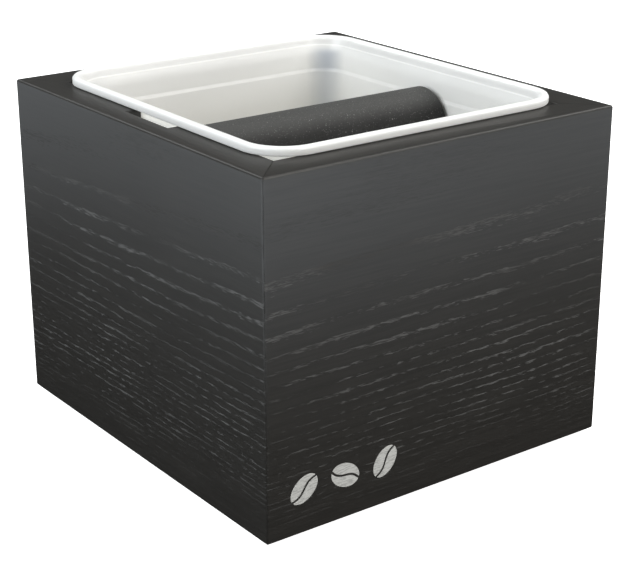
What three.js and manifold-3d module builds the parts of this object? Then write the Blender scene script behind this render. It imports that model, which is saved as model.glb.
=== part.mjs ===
// Espresso knock box: a mitred wooden housing, a plastic tray that lifts out of it, and a rubber-sleeved
// knock bar screwed across the tray. Used coffee is knocked out of a portafilter against the bar.
//
// Millimetres. +Z is up, +X runs to the right along the front face, and the front faces -Y.
// The origin is on the floor, under the middle of the box.
import * as THREE from "three";
import { mergeVertices } from "three/addons/utils/BufferGeometryUtils.js";
import Module from "manifold-3d";

// ---- Driving dimensions -------------------------------------------------------------------------------

const GAP = 0.3; // between a piece and the neighbour it is fitted to
const WELD = 1e-4; // vertices closer than this are one vertex
const OVERCUT = 1; // how far a cutter runs past the face it opens

const HOUSING = {
  width: 190,
  depth: 205,
  height: 158,
  board: 18, // thickness of the four boards
  footHeight: 2.5, // the rubber feet hold the wood this far off the floor
};

const BASE = {
  thickness: 9,
  rebate: 9, // width of the step that the base sits in, all round
  screwOffset: 55, // each side has a screw this far either side of its middle
};

const BISCUIT = {
  length: 47,
  width: 15,
  thickness: 4,
  fromInnerCorner: 9.5, // measured along the mitre
  heights: [42, 116], // centres, above the bottom of the wood
};

const FOOT = { radius: 8, inset: 15, taper: 1.2 };

const TRAY = {
  rimX: 81, // half the width over the rim
  rimY: 88, // half the depth over the rim
  rimCorner: 21,
  rimRise: 4, // the rim's top above the wood
  height: 150,
  wall: 1.9,
  bodyX: 76.2, // half the outer width just under the rim
  shoulderDrop: 18, // the stacking shoulder below the rim's top
  shoulderStep: 1.2,
  shoulderRun: 1.5, // height over which the wall steps in
  draft: THREE.MathUtils.degToRad(1.6),
  floorRadius: 8,
  lip: 1.8, // thickness of the rim's turned-down lip
  flange: 1.9, // thickness of the rim's flat top
  edgeRadius: 1.1,
  throatRise: 6.5, // height over which the wall flares out into the rim
  throatReach: 3.2,
};

const BAR = {
  radius: 17.2,
  coreRadius: 12.5,
  coreWall: 2,
  halfLength: 72, // the sleeve reaches just short of the tray's walls
  coreHalfLength: 70.5,
  belowTop: 25, // axis below the top of the wood
  endRounding: 1,
};

const SCREW = { radius: 3, length: 25, headRadius: 6, headHeight: 3.8, socket: 2.3, socketDepth: 2.2 };
const WASHER = { radius: 10, thickness: 1.25 };
const SEAL = { radius: 9, thickness: 1.2 }; // sits inside the sleeve's end
const PLUG = { length: 22 };
const WOOD_SCREW = { radius: 1.75, length: 25, headRadius: 3.5, headDepth: 2.4, slot: 0.8, slotDepth: 1.1 };

const RECESS = { width: 34, depth: 7 }; // clears the bar's screw heads as the tray drops in, and a fingertip

// ---- Worked-out places --------------------------------------------------------------------------------

const woodBottom = HOUSING.footHeight;
const woodTop = woodBottom + HOUSING.height;
const outerX = HOUSING.width / 2;
const outerY = HOUSING.depth / 2;
const innerX = outerX - HOUSING.board;
const innerY = outerY - HOUSING.board;
const rimTop = woodTop + TRAY.rimRise;
const trayFloor = rimTop - TRAY.height;
const shoulderTop = rimTop - TRAY.shoulderDrop + TRAY.shoulderRun;
const shoulderFoot = rimTop - TRAY.shoulderDrop;
const barHeight = woodTop - BAR.belowTop;
const sides = [-1, 1];

// ---- Materials ----------------------------------------------------------------------------------------

const paint = (color, roughness, metalness = 0) =>
  new THREE.MeshStandardMaterial({ color, roughness, metalness, flatShading: true });

const MATERIALS = {
  stainedWood: paint(0x2e2d2e, 0.55),
  rawPlywood: paint(0x8a7355, 0.8),
  beech: paint(0xc8a578, 0.8),
  tray: paint(0xeeeeea, 0.4),
  foamRubber: paint(0x2b2b2b, 0.9),
  footRubber: paint(0x1d1d1d, 0.85),
  aluminium: paint(0xb9bcc0, 0.35, 1),
  steel: paint(0xc6c8ca, 0.3, 1),
  nylon: paint(0xd8d6cc, 0.5),
};

// ---- Solids -------------------------------------------------------------------------------------------

const wasm = await Module();
wasm.setup();

/** A closed geometry as a manifold-3d solid. */
function toSolid(geometry) {
  const bare = geometry.clone();
  bare.deleteAttribute("normal");
  bare.deleteAttribute("uv");
  const merged = mergeVertices(bare, WELD);
  return new wasm.Manifold(
    new wasm.Mesh({
      numProp: 3,
      vertProperties: merged.attributes.position.array,
      triVerts: new Uint32Array(merged.index.array),
    }),
  );
}

/** A manifold-3d solid as a geometry. */
function toGeometry(solid) {
  const { vertProperties, triVerts } = solid.getMesh();
  const geometry = new THREE.BufferGeometry();
  geometry.setAttribute("position", new THREE.BufferAttribute(vertProperties, 3));
  geometry.setIndex(new THREE.BufferAttribute(triVerts, 1));
  geometry.computeVertexNormals();
  return geometry;
}

/** The geometry of `body` less every geometry in `cutters`. */
function carve(body, cutters) {
  const carved = cutters.reduce((solid, cutter) => solid.subtract(toSolid(cutter)), toSolid(body));
  return toGeometry(carved);
}

function piece(name, geometry, material) {
  const mesh = new THREE.Mesh(geometry, material);
  mesh.name = name;
  return mesh;
}

/** A box between two corners. */
function boxBetween([x0, y0, z0], [x1, y1, z1]) {
  const box = new THREE.BoxGeometry(x1 - x0, y1 - y0, z1 - z0);
  return box.translate((x0 + x1) / 2, (y0 + y1) / 2, (z0 + z1) / 2);
}

/** A plan outline of [x, y] points, carried up from z0 to z1. */
function plate(points, z0, z1) {
  const outline = new THREE.Shape(points.map(([x, y]) => new THREE.Vector2(x, y)));
  return new THREE.ExtrudeGeometry(outline, { depth: z1 - z0, bevelEnabled: false }).translate(0, 0, z0);
}

/** A turned solid about +Z from [radius, height] points, given from the lower end outwards and up. */
function turned(points, segments = 32) {
  const profile = points.map(([radius, height]) => new THREE.Vector2(radius, height));
  return new THREE.LatheGeometry(profile, segments).rotateX(Math.PI / 2);
}

/** A ring or tube about +Z, from z0 to z1, with its outer edges rounded by a short chamfer. */
function ring(inner, outer, z0, z1, chamfer = 0.2, segments = 40) {
  return turned(
    [
      [inner, z0],
      [outer - chamfer, z0],
      [outer, z0 + chamfer],
      [outer, z1 - chamfer],
      [outer - chamfer, z1],
      [inner, z1],
      [inner, z0],
    ],
    segments,
  );
}

// ---- Housing ------------------------------------------------------------------------------------------

/** The lens-shaped biscuit, grown all round by `extra`, standing in the mitre at an inner corner. */
function biscuitGeometry([cornerX, cornerY], height, extra = 0) {
  const half = BISCUIT.width / 2;
  const arcRadius = (BISCUIT.length ** 2 / 4 + half ** 2) / (2 * half);
  const centre = arcRadius - half;
  const grown = arcRadius + extra;
  const sweep = Math.acos(centre / grown);
  const outline = new THREE.Shape();
  outline.absarc(-centre, 0, grown, -sweep, sweep, false);
  outline.absarc(centre, 0, grown, Math.PI - sweep, Math.PI + sweep, false);
  const thickness = BISCUIT.thickness + 2 * extra;
  const lens = new THREE.ExtrudeGeometry(outline, { depth: thickness, bevelEnabled: false, curveSegments: 10 });
  lens.translate(0, 0, -thickness / 2);

  const outwards = new THREE.Vector3(Math.sign(cornerX), Math.sign(cornerY), 0).normalize();
  const across = new THREE.Vector3(outwards.x, -outwards.y, 0);
  const up = new THREE.Vector3(0, 0, 1);
  const along = new THREE.Vector3().crossVectors(across, up);
  lens.applyMatrix4(new THREE.Matrix4().makeBasis(across, up, along));
  return lens.translate(
    cornerX + outwards.x * BISCUIT.fromInnerCorner,
    cornerY + outwards.y * BISCUIT.fromInnerCorner,
    woodBottom + height,
  );
}

/** A countersunk wood screw standing head down at the origin, grown all round by `extra`. */
function woodScrewGeometry(extra = 0) {
  const { radius, length, headRadius, headDepth } = WOOD_SCREW;
  const tip = 4;
  return turned(
    [
      [0, -extra],
      [headRadius + extra, -extra],
      [headRadius + extra, 0.4],
      [radius + extra, headDepth],
      [radius + extra, length - tip],
      [0, length + extra],
    ],
    24,
  );
}

/** Where the base's screws stand along one side, and how far in from the outer face they are. */
const screwPlaces = sides.map((side) => side * BASE.screwOffset);
const screwInset = HOUSING.board - BASE.rebate / 2;

/**
 * One board of the housing, built as the front board: its outer face at y = -distance, its ends mitred.
 * `turn` then swings it round to its own side of the box.
 */
function board(name, length, distance, turn, recessed) {
  const mitre = (GAP / 2) * Math.SQRT2; // half the glue line, measured along the board
  const outerEnd = length / 2 - mitre;
  const innerEnd = outerEnd - HOUSING.board;
  const innerFace = -distance + HOUSING.board;
  const blank = plate(
    [
      [-outerEnd, -distance],
      [outerEnd, -distance],
      [innerEnd, innerFace],
      [-innerEnd, innerFace],
    ],
    woodBottom,
    woodTop,
  );

  const cutters = [
    boxBetween(
      [-length, innerFace - BASE.rebate, woodBottom - OVERCUT],
      [length, innerFace + OVERCUT, woodBottom + BASE.thickness + GAP],
    ),
  ];
  for (const x of screwPlaces)
    cutters.push(woodScrewGeometry(GAP).translate(x, -distance + screwInset, woodBottom));
  for (const side of sides)
    for (const height of BISCUIT.heights)
      cutters.push(biscuitGeometry([side * (length / 2 - HOUSING.board), innerFace], height, GAP));
  if (recessed) cutters.push(recessCutter(innerFace));

  const mesh = piece(name, carve(blank, cutters), MATERIALS.stainedWood);
  mesh.rotation.z = turn;
  return mesh;
}

/** The U-shaped recess in a side board: open at the top, and round at the bar's own height. */
function recessCutter(innerFace) {
  const half = RECESS.width / 2;
  const outline = new THREE.Shape();
  outline.moveTo(half, barHeight);
  outline.lineTo(half, woodTop + OVERCUT);
  outline.lineTo(-half, woodTop + OVERCUT);
  outline.lineTo(-half, barHeight);
  outline.absarc(0, barHeight, half, Math.PI, 2 * Math.PI, false);
  const depth = RECESS.depth + OVERCUT;
  const cutter = new THREE.ExtrudeGeometry(outline, { depth, bevelEnabled: false, curveSegments: 20 });
  cutter.rotateX(Math.PI / 2); // the outline stands up, and its depth runs towards -Y
  return cutter.translate(0, innerFace + OVERCUT, 0);
}

function boards() {
  const quarter = Math.PI / 2;
  return [
    board("front_board", HOUSING.width, outerY, 0, false),
    board("right_board", HOUSING.depth, outerX, quarter, true),
    board("back_board", HOUSING.width, outerY, 2 * quarter, false),
    board("left_board", HOUSING.depth, outerX, -quarter, true),
  ];
}

/** The eight screw positions of the base, in plan. */
function baseScrewPlan() {
  const sideX = outerX - screwInset;
  const sideY = outerY - screwInset;
  return [
    ...sides.flatMap((side) => screwPlaces.map((y) => [side * sideX, y])),
    ...sides.flatMap((side) => screwPlaces.map((x) => [x, side * sideY])),
  ];
}

function basePanel() {
  const halfX = innerX + BASE.rebate - GAP;
  const halfY = innerY + BASE.rebate - GAP;
  const blank = boxBetween([-halfX, -halfY, woodBottom], [halfX, halfY, woodBottom + BASE.thickness]);
  const holes = baseScrewPlan().map(([x, y]) => woodScrewGeometry(GAP).translate(x, y, woodBottom));
  return piece("base_panel", carve(blank, holes), MATERIALS.rawPlywood);
}

function baseScrews() {
  const { headRadius, slot, slotDepth } = WOOD_SCREW;
  const reach = headRadius * 0.6;
  const crossRecess = [
    boxBetween([-reach, -slot / 2, -OVERCUT], [reach, slot / 2, slotDepth]),
    boxBetween([-slot / 2, -reach, -OVERCUT], [slot / 2, reach, slotDepth]),
  ];
  const screw = carve(woodScrewGeometry(), crossRecess);
  return baseScrewPlan().map(([x, y], i) => {
    const mesh = piece(`base_screw_${i + 1}`, screw, MATERIALS.steel);
    mesh.position.set(x, y, woodBottom);
    return mesh;
  });
}

function biscuits() {
  const corners = [
    ["front_left", -1, -1],
    ["front_right", 1, -1],
    ["back_right", 1, 1],
    ["back_left", -1, 1],
  ];
  return corners.flatMap(([corner, sideX, sideY]) =>
    BISCUIT.heights.map((height, i) => {
      const geometry = biscuitGeometry([sideX * innerX, sideY * innerY], height);
      return piece(`biscuit_${corner}_${i ? "upper" : "lower"}`, geometry, MATERIALS.beech);
    }),
  );
}

/** Four round rubber feet under the corners. */
function feet() {
  const { radius, inset, taper } = FOOT;
  const pad = turned([
    [0, 0],
    [radius - taper, 0],
    [radius - 0.4, 0.8],
    [radius, HOUSING.footHeight - 0.1],
    [0, HOUSING.footHeight - 0.1],
  ]);
  const corners = sides.flatMap((sideX) => sides.map((sideY) => [sideX, sideY]));
  return corners.map(([sideX, sideY], i) => {
    const mesh = piece(`foot_${i + 1}`, pad, MATERIALS.footRubber);
    mesh.position.set(sideX * (outerX - inset), sideY * (outerY - inset), 0);
    return mesh;
  });
}

// ---- Tray ---------------------------------------------------------------------------------------------

const CORNER_STEPS = 7; // facets round each corner of the tray

/** A level ring of points round a rounded rectangle, anticlockwise from above. */
function trayRing([halfX, z]) {
  const halfY = halfX + TRAY.rimY - TRAY.rimX;
  const radius = TRAY.rimCorner - (TRAY.rimX - halfX);
  const points = [];
  for (let corner = 0; corner < 4; corner++) {
    const centreX = (corner === 0 || corner === 3 ? 1 : -1) * (halfX - radius);
    const centreY = (corner < 2 ? 1 : -1) * (halfY - radius);
    for (let step = 0; step <= CORNER_STEPS; step++) {
      const angle = (corner + step / CORNER_STEPS) * (Math.PI / 2);
      points.push([centreX + radius * Math.cos(angle), centreY + radius * Math.sin(angle), z]);
    }
  }
  return points;
}

/** A quarter of an ellipse as [half width, height] points, from angle 0 at `start` to a right angle. */
function quarter(centreX, centreZ, reachX, reachZ, start, end, steps) {
  return Array.from({ length: steps + 1 }, (_, i) => {
    const angle = start + ((end - start) * i) / steps;
    return [centreX + reachX * Math.cos(angle), centreZ + reachZ * Math.sin(angle)];
  });
}

/** The tray's section as [half width, height] points: up the outside, over the rim and down the inside. */
function traySection() {
  const { wall, bodyX, shoulderStep, draft, floorRadius, lip, flange, edgeRadius, throatRise, throatReach } = TRAY;
  const outside = (z) => bodyX - shoulderStep - (shoulderFoot - z) * Math.tan(draft);
  const lowWall = trayFloor + floorRadius;
  const innerRadius = floorRadius - wall;
  const halfTurn = Math.PI;
  const down = -Math.PI / 2;
  const throatFoot = rimTop - throatRise;
  const lipFoot = woodTop + GAP;
  const underside = rimTop - flange;
  const throatUnder = TRAY.rimX - lip - bodyX;
  return [
    ...quarter(outside(lowWall) - floorRadius, lowWall, floorRadius, floorRadius, down, 0, 4),
    [bodyX - shoulderStep, shoulderFoot],
    [bodyX, shoulderTop],
    ...quarter(bodyX + throatUnder, throatFoot, throatUnder, underside - throatFoot, halfTurn, halfTurn / 2, 4),
    [TRAY.rimX - lip, lipFoot],
    [TRAY.rimX - GAP, lipFoot],
    [TRAY.rimX, lipFoot + GAP],
    ...quarter(TRAY.rimX - edgeRadius, rimTop - edgeRadius, edgeRadius, edgeRadius, 0, -down, 3),
    ...quarter(bodyX - wall + throatReach, throatFoot, throatReach, throatRise, -down, halfTurn, 6),
    [bodyX - wall, shoulderTop],
    [bodyX - wall - shoulderStep, shoulderFoot],
    ...quarter(outside(lowWall) - floorRadius, lowWall, innerRadius, innerRadius, 0, down, 4),
  ];
}

/** A closed solid through a stack of rings with equal point counts, its first and last rings filled in. */
function loft(rings) {
  const count = rings[0].length;
  const vertices = rings.flat();
  const faces = [];
  for (let level = 0; level + 1 < rings.length; level++)
    for (let i = 0; i < count; i++) {
      const a = level * count + i;
      const b = level * count + ((i + 1) % count);
      faces.push([a, b, b + count], [a, b + count, a + count]);
    }
  const first = vertices.length;
  const last = first + 1;
  const top = (rings.length - 1) * count;
  vertices.push([0, 0, rings[0][0][2]], [0, 0, rings.at(-1)[0][2]]);
  for (let i = 0; i < count; i++) {
    const next = (i + 1) % count;
    faces.push([first, next, i], [last, top + i, top + next]);
  }
  const geometry = new THREE.BufferGeometry();
  geometry.setAttribute("position", new THREE.Float32BufferAttribute(vertices.flat(), 3));
  geometry.setIndex(faces.flat());
  geometry.computeVertexNormals();
  return geometry;
}

function tray() {
  const shell = loft(traySection().map(trayRing));
  const screwHole = new THREE.CylinderGeometry(SCREW.radius + GAP, SCREW.radius + GAP, 4 * TRAY.rimX, 24);
  screwHole.rotateZ(Math.PI / 2).translate(0, 0, barHeight);
  return piece("tray", carve(shell, [screwHole]), MATERIALS.tray);
}

// ---- Knock bar ----------------------------------------------------------------------------------------

/** The stack of pieces at one end of the bar, along +Z from the middle of the bar outwards. */
function barEnd(side) {
  const label = side < 0 ? "left" : "right";
  const boreRadius = SCREW.radius + GAP;
  const wallFace = TRAY.bodyX - TRAY.shoulderStep - (shoulderFoot - barHeight) * Math.tan(TRAY.draft);
  const washerFace = TRAY.bodyX - TRAY.shoulderStep + 0.1; // clears the wall's slope all over
  const headFace = washerFace + WASHER.thickness + 0.1;
  const sealFace = wallFace - TRAY.wall - SEAL.thickness - 2 * GAP;
  const plugRadius = BAR.coreRadius - BAR.coreWall - GAP;
  const plugStart = BAR.coreHalfLength - PLUG.length;
  const { headRadius, headHeight, radius, length, socket, socketDepth } = SCREW;

  const screwBlank = turned([
    [0, headFace - length],
    [radius - 0.6, headFace - length],
    [radius, headFace - length + 0.6],
    [radius, headFace],
    [headRadius, headFace],
    [headRadius, headFace + 0.5 * headHeight],
    [0.85 * headRadius, headFace + 0.85 * headHeight],
    [0.6 * headRadius, headFace + headHeight],
    [0, headFace + headHeight],
  ]);
  const socketCut = new THREE.CylinderGeometry(socket, socket, 2 * socketDepth, 6);
  socketCut.rotateX(Math.PI / 2).translate(0, 0, headFace + headHeight);

  const end = new THREE.Group();
  end.add(
    piece(`bar_plug_${label}`, ring(boreRadius, plugRadius, plugStart, BAR.coreHalfLength), MATERIALS.nylon),
    piece(`bar_seal_${label}`, ring(boreRadius, SEAL.radius, sealFace, sealFace + SEAL.thickness), MATERIALS.footRubber),
    piece(`bar_washer_${label}`, ring(boreRadius, WASHER.radius, washerFace, washerFace + WASHER.thickness), MATERIALS.steel),
    piece(`bar_screw_${label}`, carve(screwBlank, [socketCut]), MATERIALS.steel),
  );
  end.rotation.y = (side * Math.PI) / 2;
  return end;
}

/** The tube and its sleeve, along +Z. */
function barBody() {
  const { radius, coreRadius, coreWall, halfLength, coreHalfLength, endRounding } = BAR;
  const core = ring(coreRadius - coreWall, coreRadius, -coreHalfLength, coreHalfLength, 0.3, 48);
  const sleeve = ring(coreRadius + GAP, radius, -halfLength, halfLength, endRounding, 64);
  const body = new THREE.Group();
  body.add(piece("bar_core", core, MATERIALS.aluminium), piece("bar_sleeve", sleeve, MATERIALS.foamRubber));
  body.rotation.y = Math.PI / 2;
  return body;
}

function knockBar() {
  const bar = new THREE.Group();
  bar.add(barBody(), barEnd(-1), barEnd(1));
  bar.position.z = barHeight;
  return bar;
}

// ---- The knock box ------------------------------------------------------------------------------------

const knockBox = new THREE.Group();
knockBox.add(...boards(), basePanel(), ...baseScrews(), ...biscuits(), ...feet(), tray(), knockBar());

export default knockBox;
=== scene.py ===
"""Looks of an espresso knock box: a black-stained wooden box, a white tray hung in it, and a rubber-sleeved bar.

The script is laid out as an add-on and run as a script. Each operator makes one piece, or one group of like
pieces, round the fixed frame. Everything is in metres: +Z up, the front face towards -Y, the bar along X.
"""

import math

import bmesh
import bpy
import numpy as np
from bpy.props import FloatProperty, FloatVectorProperty, IntProperty, PointerProperty
from mathutils import Matrix, Vector


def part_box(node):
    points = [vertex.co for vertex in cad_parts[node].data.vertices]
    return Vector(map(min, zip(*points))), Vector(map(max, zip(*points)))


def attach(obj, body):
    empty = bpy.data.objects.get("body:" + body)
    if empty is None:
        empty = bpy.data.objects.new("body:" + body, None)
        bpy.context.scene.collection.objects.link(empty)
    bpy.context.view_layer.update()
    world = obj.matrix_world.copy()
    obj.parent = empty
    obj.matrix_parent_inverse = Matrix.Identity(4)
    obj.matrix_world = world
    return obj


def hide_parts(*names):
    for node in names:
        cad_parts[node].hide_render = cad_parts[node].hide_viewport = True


bl_info = {
    "name": "Espresso knock box",
    "version": (1, 0, 0),
    "blender": (4, 5, 0),
    "location": "3D View > Sidebar > Knock Box",
    "description": "Builds a wooden knock box with a lift-out tray and a rubber-sleeved bar",
    "category": "Object",
}

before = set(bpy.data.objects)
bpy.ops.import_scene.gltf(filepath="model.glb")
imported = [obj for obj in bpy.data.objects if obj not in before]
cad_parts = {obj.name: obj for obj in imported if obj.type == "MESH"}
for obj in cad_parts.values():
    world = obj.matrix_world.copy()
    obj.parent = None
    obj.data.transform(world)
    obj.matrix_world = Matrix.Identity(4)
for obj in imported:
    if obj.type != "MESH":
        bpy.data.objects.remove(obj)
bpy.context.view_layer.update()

MM = 0.001
SIDES = (-1, 1)
HALF_TURN = math.pi
RIGHT_ANGLE = math.pi / 2
WELD = 1e-7  # points closer than this are one point
SHARP = math.radians(32)  # an edge that turns more than this stays crisp


def size_of(node):
    """Width, depth and height of a CAD node."""
    low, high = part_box(node)
    return high - low


# ---- Places taken from the frame ----

FRONT_LOW, FRONT_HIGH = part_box("front_board")
LEFT_LOW, LEFT_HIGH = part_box("left_board")
TRAY_LOW, TRAY_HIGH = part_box("tray")
SLEEVE_LOW, SLEEVE_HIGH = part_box("bar_sleeve")
WOOD_BOTTOM, WOOD_TOP = FRONT_LOW.z, FRONT_HIGH.z
OUTER_X, OUTER_Y = -LEFT_LOW.x, -FRONT_LOW.y
BOARD = FRONT_HIGH.y - FRONT_LOW.y
BAR_HEIGHT = (SLEEVE_LOW.z + SLEEVE_HIGH.z) / 2
BASE_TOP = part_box("base_panel")[1].z


# ---- What a user would change ----


def length_setting(name, description, default):
    return FloatProperty(name=name, description=description, default=default, unit="LENGTH", min=0.0)


def angle_setting(name, description, degrees):
    return FloatProperty(name=name, description=description, default=math.radians(degrees), subtype="ANGLE")


def colour_setting(name, description, default):
    return FloatVectorProperty(
        name=name, description=description, default=default, subtype="COLOR", size=3, min=0.0, max=1.0
    )


class HousingSettings(bpy.types.PropertyGroup):
    arris: length_setting("Arris", "Rounding of the boards' long edges", 1.1 * MM)
    corner: length_setting("Corner", "Rounding of the box's four upright corners", 1.0 * MM)
    finish: length_setting("Finish", "Depth of wood sanded off before staining", 0.05 * MM)
    joint_line: length_setting("Joint line", "Half the width of the line at a mitre", 0.012 * MM)
    recess_depth: length_setting("Recess depth", "How far the bar's recess goes into a side board", 7 * MM)
    recess_width: length_setting("Recess width", "Width of the bar's recess", 34 * MM)
    rebate: length_setting("Rebate", "Width of the step that the base sits in", 9 * MM)
    stain: colour_setting("Stain", "Colour of the stained wood", (0.0355, 0.0335, 0.0308))
    pore: colour_setting("Pores", "Colour of the dry open pores", (0.140, 0.139, 0.138))
    ring_spacing: length_setting("Ring spacing", "Thickness of one year's growth", 3.3 * MM)


class TraySettings(bpy.types.PropertyGroup):
    wall: length_setting("Wall", "Thickness of the tray's wall", 1.9 * MM)
    flange: length_setting("Flange", "Thickness of the rim", 1.9 * MM)
    corner: length_setting("Corner", "Radius of the rim's corners, seen from above", 21 * MM)
    overhang: length_setting("Overhang", "How far the rim stands out past the wall", 4.8 * MM)
    shoulder_drop: length_setting("Shoulder", "Depth of the stacking shoulder below the rim", 18 * MM)
    draft: angle_setting("Draft", "Slope of the walls", 1.6)
    colour: colour_setting("Plastic", "Colour of the milky plastic", (0.905, 0.905, 0.89))


class BarSettings(bpy.types.PropertyGroup):
    bore: length_setting("Bore", "Radius of the hole through the sleeve", 12.8 * MM)
    end_rounding: length_setting("End rounding", "Rounding of the sleeve's ends", 0.9 * MM)
    rubber: colour_setting("Rubber", "Colour of the foam rubber", (0.034, 0.034, 0.033))
    steps: IntProperty(name="Steps", description="Facets round the bar", default=128, min=16)


class PrintSettings(bpy.types.PropertyGroup):
    bean_length: length_setting("Bean length", "Length of one printed bean", 15.5 * MM)
    bean_width: length_setting("Bean width", "Width of one printed bean", 10.8 * MM)
    pitch: length_setting("Pitch", "Distance from bean to bean", 21.5 * MM)
    height: length_setting("Height", "Height of the print's middle above the wood's lower edge", 20.5 * MM)
    margin: length_setting("Margin", "From the box's left edge to the first bean's middle", 19 * MM)
    colour: colour_setting("Ink", "Colour of the print", (0.78, 0.78, 0.76))


class StageSettings(bpy.types.PropertyGroup):
    azimuth: angle_setting("Azimuth", "Camera's direction round the box, from the front", -36.68)
    elevation: angle_setting("Elevation", "Camera's angle above the horizon", 20.5)
    distance: length_setting("Distance", "From the camera to the point it looks at", 0.7922)
    lens: FloatProperty(name="Lens", description="Focal length in millimetres", default=90.2)
    target: FloatVectorProperty(
        name="Target", description="Point that the camera looks at", default=(0.0181, 0.0129, 0.0566),
        subtype="XYZ", size=3,
    )


# ---- Meshes ----


def lofted(name, rings, caps="nn"):
    """A closed skin over `rings`, an array of levels x points x 3 that runs anticlockwise round the upward axis.

    Point j of ring i joins point j + 1 and ring i + 1, and the last point joins the first. `caps` says how the
    first and last rings are closed: n, one flat face; p, the ring is a single point already; w, the last ring
    joins the first, as on a ring or a tube.
    """
    rings = np.asarray(rings, float)
    levels, count, _ = rings.shape
    index = np.arange(levels * count).reshape(levels, count)
    if caps == "w":
        index = np.vstack([index, index[:1]])
    along = np.roll(index, -1, axis=1)
    quads = np.stack([index[:-1], along[:-1], along[1:], index[1:]], axis=-1).reshape(-1, 4)
    faces = quads.tolist()
    if caps[0] == "n":
        faces.append(index[0, ::-1].tolist())
    if caps[-1] == "n":
        faces.append(index[-1].tolist())
    mesh = bpy.data.meshes.new(name)
    mesh.from_pydata(rings.reshape(-1, 3), [], faces)
    return finished(name, mesh)


def finished(name, mesh):
    """Merges doubled points, shades the mesh smooth with its sharp edges kept, and links its object."""
    edit = bmesh.new()
    edit.from_mesh(mesh)
    bmesh.ops.remove_doubles(edit, verts=edit.verts, dist=WELD)
    bmesh.ops.dissolve_degenerate(edit, edges=edit.edges, dist=WELD)
    edit.to_mesh(mesh)
    edit.free()
    mesh.validate()
    mesh.shade_smooth()
    mesh.set_sharp_from_angle(angle=SHARP)
    obj = bpy.data.objects.new(name, mesh)
    bpy.context.scene.collection.objects.link(obj)
    return obj


def joined(name, objects):
    """One object that holds the meshes of several, which are then removed."""
    edit = bmesh.new()
    for obj in objects:
        edit.from_mesh(obj.data)
        bpy.data.objects.remove(obj)
    mesh = bpy.data.meshes.new(name)
    edit.to_mesh(mesh)
    edit.free()
    return finished(name, mesh)


def rounded(corners, radii, steps=8):
    """A polyline with each inner corner replaced by an arc that touches both of its sides.

    The arc of radius r starts r / tan(a / 2) before a corner of angle a, and turns about the point
    r / sin(a / 2) along the corner's bisector. The first and last points stay as they are.
    """
    corners = np.asarray(corners, float)
    path = [corners[:1]]
    for before, corner, after, radius in zip(corners[:-2], corners[1:-1], corners[2:], radii):
        if radius <= 0:
            path.append(corner[None])
            continue
        back = (before - corner) / np.linalg.norm(before - corner)
        on = (after - corner) / np.linalg.norm(after - corner)
        angle = math.acos(float(np.clip(back @ on, -1, 1)))
        reach = radius / math.tan(angle / 2)
        bisector = (back + on) / np.linalg.norm(back + on)
        centre = corner + bisector * radius / math.sin(angle / 2)
        first, last = corner + back * reach - centre, corner + on * reach - centre
        sweep = HALF_TURN - angle
        t = np.linspace(0, 1, steps + 1)[:, None]
        arc = (np.sin((1 - t) * sweep) * first + np.sin(t * sweep) * last) / math.sin(sweep)
        path.append(centre + arc)
    path.append(corners[-1:])
    return np.vstack(path)


def with_support(path, reach):
    """The polyline with two more points on each long stretch, `reach` from its ends, which keep flat faces flat."""
    path = np.asarray(path, float)
    step = np.diff(path, axis=0)
    length = np.linalg.norm(step, axis=1)
    points = [path[:1]]
    for start, way, run in zip(path[:-1], step, length):
        if run > 4 * reach:
            points.append(start + way * np.array([[reach / run], [1 - reach / run]]))
        points.append((start + way)[None])
    return np.vstack(points)


def full_turn(count):
    """Angles of `count` points spread evenly over a full turn."""
    return np.arange(count) * 2 * HALF_TURN / count


def turned(profile, count, along="z"):
    """Rings about an axis, one for each [radius, height] of the profile: radius cos a, radius sin a, height.

    A radius may be an array over the angle a, which makes a ring that isn't round.
    """
    angle = full_turn(count)
    rings = [np.stack([r * np.cos(angle), r * np.sin(angle), np.full(count, h)], axis=-1) for r, h in profile]
    flat = np.array(rings)
    return flat if along == "z" else flat[..., [2, 0, 1]]


# ---- Node trees ----

SOCKETS = {"value": "NodeSocketFloat", "vector": "NodeSocketVector"}


def node(tree, kind, inputs=None, **settings):
    """Adds a node. `inputs` maps an input's name or number to a value or to another node's output."""
    made = tree.nodes.new("ShaderNode" + kind)
    for key, value in settings.items():
        setattr(made, key, value)
    for key, value in (inputs or {}).items():
        socket = made.inputs[key]
        if isinstance(value, bpy.types.NodeSocket):
            tree.links.new(value, socket)
        else:
            socket.default_value = (*value, 1.0) if socket.type == "RGBA" else value
    return made


def math_node(tree, operation, a, b=0.0, clamp=False):
    return node(tree, "Math", {0: a, 1: b}, operation=operation, use_clamp=clamp).outputs[0]


def times(tree, a, b):
    return math_node(tree, "MULTIPLY", a, b)


def plus(tree, a, b):
    return math_node(tree, "ADD", a, b)


def minus(tree, a, b):
    return math_node(tree, "SUBTRACT", a, b)


def larger(tree, a, b):
    return math_node(tree, "MAXIMUM", a, b)


def axes(tree, vector):
    return node(tree, "SeparateXYZ", {0: vector}).outputs


def remap(tree, value, from_low, from_high, to_low=0.0, to_high=1.0, smooth=True):
    """A value brought from one range to another, held at the ends."""
    inputs = {"Value": value, "From Min": from_low, "From Max": from_high, "To Min": to_low, "To Max": to_high}
    return node(tree, "MapRange", inputs, interpolation_type="SMOOTHSTEP" if smooth else "LINEAR").outputs[0]


def spread(tree, noise, low=0.0, high=1.0):
    """Noise, which seldom leaves the range 0.3 to 0.7, brought to the range low to high."""
    return remap(tree, noise, 0.3, 0.7, low, high)


def stretched_noise(tree, vector, scale, detail=2.0, roughness=0.5):
    """Noise on a vector that is scaled by its own amount along each axis."""
    scaled = node(tree, "VectorMath", {0: vector, 1: scale}, operation="MULTIPLY").outputs[0]
    return node(tree, "TexNoise", {"Vector": scaled, "Scale": 1.0, "Detail": detail, "Roughness": roughness}).outputs[0]


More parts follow.
